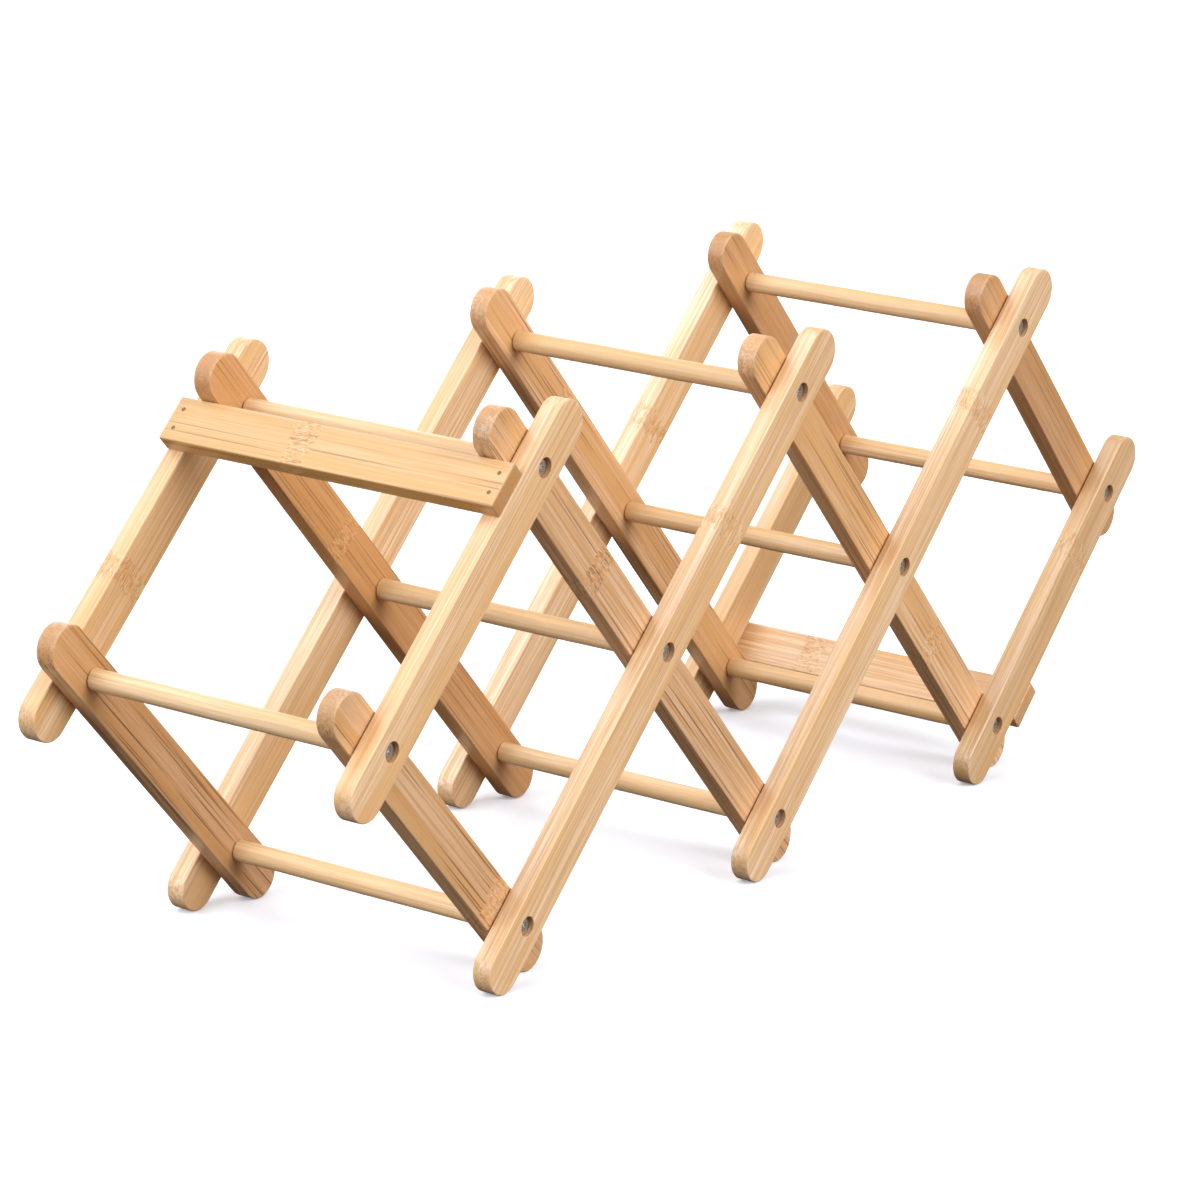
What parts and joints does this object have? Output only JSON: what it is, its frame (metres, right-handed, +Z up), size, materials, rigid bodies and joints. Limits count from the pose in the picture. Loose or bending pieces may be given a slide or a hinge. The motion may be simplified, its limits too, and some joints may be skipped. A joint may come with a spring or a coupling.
{
  "type": "folding wine bottle rack",
  "caption": "Folding bamboo rack of crossed slats on dowel pivots that opens into a row of diamond bottle openings and closes into a bundle.",
  "frame": {"origin": "centre of the footprint on the table, at the bottom of the rounded feet", "axes": "+X along the row of diamonds, +Y along the bottles from the front lattice to the rear one, +Z up"},
  "size_m": [0.5356, 0.144, 0.2075],
  "materials": {
    "bamboo_outer": "clear satin lacquer over sanded carbonised-light bamboo",
    "bamboo_inner": "clear satin lacquer over sanded bamboo, a tone warmer",
    "bamboo_dowel": "clear satin lacquer over turned bamboo",
    "zinc_plated_steel": "zinc plated, dull",
    "bright_steel": "bright drawn wire"
  },
  "bodies": {
    "centre_foot": {"foot_dowel_2": "bamboo_dowel", "front_foot_screw_2": "zinc_plated_steel", "rear_foot_screw_2": "zinc_plated_steel"},
    "outer_slats_1": {"front_outer_slat_1": "bamboo_outer", "rear_outer_slat_1": "bamboo_outer", "cross_dowel_1": "bamboo_dowel", "front_cross_screw_1": "zinc_plated_steel", "rear_cross_screw_1": "zinc_plated_steel", "top_dowel_1": "bamboo_dowel", "front_top_screw_1": "zinc_plated_steel", "rear_top_screw_1": "zinc_plated_steel", "top_stop_bar": "bamboo_outer", "top_bar_front_brad_1": "bright_steel", "top_bar_front_brad_2": "bright_steel", "top_bar_rear_brad_1": "bright_steel", "top_bar_rear_brad_2": "bright_steel"},
    "outer_slats_2": {"front_outer_slat_2": "bamboo_outer", "rear_outer_slat_2": "bamboo_outer", "foot_dowel_1": "bamboo_dowel", "front_foot_screw_1": "zinc_plated_steel", "rear_foot_screw_1": "zinc_plated_steel", "cross_dowel_2": "bamboo_dowel", "front_cross_screw_2": "zinc_plated_steel", "rear_cross_screw_2": "zinc_plated_steel", "top_dowel_2": "bamboo_dowel", "front_top_screw_2": "zinc_plated_steel", "rear_top_screw_2": "zinc_plated_steel"},
    "outer_slats_3": {"front_outer_slat_3": "bamboo_outer", "rear_outer_slat_3": "bamboo_outer", "cross_dowel_3": "bamboo_dowel", "front_cross_screw_3": "zinc_plated_steel", "rear_cross_screw_3": "zinc_plated_steel", "top_dowel_3": "bamboo_dowel", "front_top_screw_3": "zinc_plated_steel", "rear_top_screw_3": "zinc_plated_steel"},
    "outer_slats_4": {"front_outer_slat_4": "bamboo_outer", "rear_outer_slat_4": "bamboo_outer", "foot_dowel_3": "bamboo_dowel", "front_foot_screw_3": "zinc_plated_steel", "rear_foot_screw_3": "zinc_plated_steel", "cross_dowel_4": "bamboo_dowel", "front_cross_screw_4": "zinc_plated_steel", "rear_cross_screw_4": "zinc_plated_steel", "foot_stop_bar": "bamboo_outer", "foot_bar_front_brad_1": "bright_steel", "foot_bar_front_brad_2": "bright_steel", "foot_bar_rear_brad_1": "bright_steel", "foot_bar_rear_brad_2": "bright_steel"},
    "inner_slats_1": {"front_inner_slat_1": "bamboo_inner", "rear_inner_slat_1": "bamboo_inner"},
    "inner_slats_2": {"front_inner_slat_2": "bamboo_inner", "rear_inner_slat_2": "bamboo_inner"},
    "inner_slats_3": {"front_inner_slat_3": "bamboo_inner", "rear_inner_slat_3": "bamboo_inner"},
    "inner_slats_4": {"front_inner_slat_4": "bamboo_inner", "rear_inner_slat_4": "bamboo_inner"}
  },
  "joints": [
    {"name": "fold", "type": "hinge", "parent": "centre_foot", "child": "outer_slats_3", "pos_m": [0, 0, 0.02173], "axis": [0, -1, 0], "range_deg": [0, 40]},
    {"name": "inner_2_turn", "type": "hinge", "parent": "centre_foot", "child": "inner_slats_2", "pos_m": [0, 0, 0.02173], "axis": [0, 1, 0], "range_deg": [0, 40]},
    {"name": "outer_2_turn", "type": "hinge", "parent": "inner_slats_2", "child": "outer_slats_2", "pos_m": [-0.08202, 0, 0.10375], "axis": [0, -1, 0], "range_deg": [0, 80]},
    {"name": "outer_1_turn", "type": "hinge", "parent": "inner_slats_2", "child": "outer_slats_1", "pos_m": [-0.16405, 0, 0.18578], "axis": [0, -1, 0], "range_deg": [0, 80]},
    {"name": "inner_3_turn", "type": "hinge", "parent": "outer_slats_3", "child": "inner_slats_3", "pos_m": [0.08202, 0, 0.10375], "axis": [0, 1, 0], "range_deg": [0, 80]},
    {"name": "inner_4_turn", "type": "hinge", "parent": "outer_slats_3", "child": "inner_slats_4", "pos_m": [0.16405, 0, 0.18578], "axis": [0, 1, 0], "range_deg": [0, 80]},
    {"name": "inner_1_turn", "type": "hinge", "parent": "outer_slats_2", "child": "inner_slats_1", "pos_m": [-0.16405, 0, 0.02173], "axis": [0, 1, 0], "range_deg": [0, 80]},
    {"name": "outer_4_turn", "type": "hinge", "parent": "inner_slats_3", "child": "outer_slats_4", "pos_m": [0.16405, 0, 0.02173], "axis": [0, -1, 0], "range_deg": [0, 80]}
  ],
  "couplings": [
    {"joint": "inner_2_turn", "follows": "fold", "ratio": 1},
    {"joint": "outer_2_turn", "follows": "fold", "ratio": 2},
    {"joint": "outer_1_turn", "follows": "fold", "ratio": 2},
    {"joint": "inner_3_turn", "follows": "fold", "ratio": 2},
    {"joint": "inner_4_turn", "follows": "fold", "ratio": 2},
    {"joint": "inner_1_turn", "follows": "fold", "ratio": 2},
    {"joint": "outer_4_turn", "follows": "fold", "ratio": 2}
  ]
}
